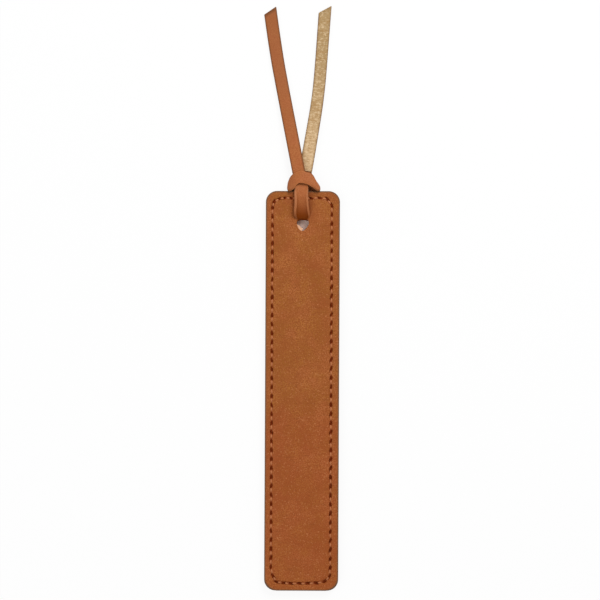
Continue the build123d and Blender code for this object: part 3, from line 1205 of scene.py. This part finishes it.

# %% [markdown]
# The flesh side is suede: pale and dull, with a short nap that looks grainy. Its specks are drawn
# out a little across the lace, as if brushed that way, and fine creases from bending run across
# it too. It is painted darker towards the tip as painted shade, and its edges fray and take painted
# shade.

# %% Suede side


def suede():
    """The lace's flesh side: pale, dull and grainy with short nap, with painted shade towards its tip
    and at its frayed edges.
    """
    finish, tree, shader, place = new_finish("suede_finish", 0.95, 0.05)
    patch = add_noise(tree, "brushed patches", place, 500.0, 3.0, 0.5, 1.0)
    share = map_range(tree, "patches", patch, 0.3, 0.7, 0.0, 1.0)
    colour = blend_colours(tree, "patch colour", share, dye(202, 168, 126), dye(213, 182, 142))
    # painted shade towards the tip of the tail
    painted_shade = map_range(tree, "painted_shade", attribute(tree, "painted_shade"), 0.1, 0.9, 0.0, 0.85)
    colour = blend_colours(tree, "painted_shade", painted_shade, colour, dye(168, 140, 98))
    brushed = stretch_across(tree, "brushed across", place, 0.55)
    nap = add_noise(tree, "nap", brushed, 1700.0, 3.0, 0.6, 2.0)
    dark = map_range(tree, "dark specks", nap, 0.51, 0.62, 0.0, 0.6)
    colour = blend_colours(tree, "dark specks", dark, colour, dye(166, 129, 84))
    light = map_range(tree, "light specks", nap, 0.38, 0.49, 0.5, 0.0)
    colour = blend_colours(tree, "light specks", light, colour, dye(230, 203, 166))
    bent = stretch_across(tree, "creases run across", place, 0.2)
    crease = add_noise(tree, "bending creases", bent, 650.0, 1.0, 0.5, 4.0)
    crease = map_range(tree, "fine creases", crease, 0.57, 0.7, 0.0, 0.45)
    colour = blend_colours(tree, "creases", crease, colour, dye(160, 118, 68))
    # the edges: frayed nap, and painted shade where the lace rounds over
    fray = add_noise(tree, "fray", place, 1200.0, 2.0, 0.5, 3.0)
    fray = map_range(tree, "frayed", fray, 0.35, 0.6, 0.35, 1.0)
    frayed = math_node(tree, "MULTIPLY", attribute(tree, "edge"), fray)
    colour = blend_colours(tree, "frayed edge", frayed, colour, dye(150, 120, 82))
    tree.links.new(colour, shader.inputs["Base Color"])
    add_bump(tree, shader, nap, 0.7, 0.25 * mm)
    return finish


suede_finish = suede()
print("nodes in the suede", len(suede_finish.node_tree.nodes))

# %% [markdown]
# ### The white sheet
#
# Under this plain light a white sheet would look grey. So most of what the camera sees of it is
# plain white, picked out with Light Path, and the rest is the lit sheet, which keeps the soft
# shadow. The floor seen through the hole gets none of that white: it lies in the shade of the
# leather, and its colour is painted tan there as painted bounce light from the leather.

# %% White sheet
floor_white = 0.9


def white_sheet():
    """The floor: dull white, with plain white added where it is looked at, but not in the hole."""
    finish, tree, shader, place = new_finish("white_sheet_finish", 0.9, 0.1)
    away = tree.nodes.new("ShaderNodeVectorMath")
    away.operation = "DISTANCE"
    tree.links.new(place, away.inputs[0])
    away.inputs[1].default_value = (0, hole_y, 0)
    away = away.outputs["Value"]
    shade = add_noise(tree, "paper", place, 3.0)
    colour = blend_colours(tree, "paper", shade, dye(243, 243, 243), dye(245, 245, 245))
    # painted bounce light: the floor under the hole is painted tan, as light thrown down from the
    # leather
    bounce_tint = map_range(tree, "in the leather's light", away, 4 * mm, 6 * mm, 1.0, 0.0)
    colour = blend_colours(tree, "painted bounce light", bounce_tint, colour, dye(228, 204, 192))
    tree.links.new(colour, shader.inputs["Base Color"])
    glow = add_node(tree, "ShaderNodeEmission", "plain white", Strength=1.0)
    rays = tree.nodes.new("ShaderNodeLightPath").outputs
    seen = rays["Is Camera Ray"]
    for kind in ("Is Glossy Ray", "Is Transmission Ray"):
        seen = math_node(tree, "MAXIMUM", seen, rays[kind])
    outside = map_range(tree, "away from the hole", away, 5 * mm, 8 * mm, 0.0, floor_white)
    mix = tree.nodes.new("ShaderNodeMixShader")
    share = math_node(tree, "MULTIPLY", seen, outside)
    for socket, value in zip(mix.inputs, (share, shader.outputs[0], glow.outputs[0])):
        tree.links.new(value, socket)
    tree.links.new(mix.outputs[0], tree.nodes["Material Output"].inputs["Surface"])
    return finish


sheet_finish = white_sheet()
print("white of the sheet", floor_white)

# %% [markdown]
# ## Dress the pieces and tie them to the frame
#
# A lace strip has three finishes in order: the side its grid faced, the other side, and the
# cut edge. The right tail was turned over by the knot, so its two sides are swapped.

# %% Materials on the pieces


def dress(piece, *finishes):
    """Puts finishes in the piece's slots, and leaves each face the slot that it has."""
    while len(piece.data.materials) < len(finishes):
        piece.data.materials.append(None)
    for number, finish in enumerate(finishes):
        piece.data.materials[number] = finish


dress(floor, sheet_finish)
dress(front_leather, strip_finish)
dress(back_leather, strip_finish)
dress(front_thread, thread_finish)
dress(back_thread, thread_finish)
dress(lace_loop, grain_finish, suede_finish, pale_edge_finish)
dress(lace_knot, grain_finish, grain_finish, shaded_edge_finish)
dress(left_tail, grain_finish, suede_finish, shaded_edge_finish)
dress(right_tail, suede_finish, grain_finish, shaded_edge_finish)
for slot in frame["nodes"]["stiffener_card"].material_slots:
    slot.material = board_finish
print("right tail", [finish.name for finish in right_tail.data.materials])

# %% [markdown]
# The panels and threads ride on the strip, and the knot on a body of its own. The loop and the
# tails stay where they are built, and the CAD parts they replace are hidden.

# %% Ride and replace
for piece, node, slot in (
    (front_leather, "front_panel", "strip_leather"),
    (back_leather, "back_panel", "strip_leather"),
    (front_thread, "needle_thread", "thread"),
    (back_thread, "bobbin_thread", "thread"),
):
    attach(piece, "strip")
    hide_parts(node)

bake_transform(lace_loop)
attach(lace_knot, "knot")
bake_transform(left_tail)
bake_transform(right_tail)
for piece, node in (
    (lace_loop, "lace_loop"),
    (lace_knot, "lace_knot"),
    (left_tail, "lace_tail_left"),
    (right_tail, "lace_tail_right"),
):
    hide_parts(node)

for tail, line, length, width in (
    (left_tail, left_line, left_length, left_widths[0]),
    (right_tail, right_line, right_length, right_widths[2]),
):
    print(tail.name, "is a cord of", round(length / mm, 1), "mm")
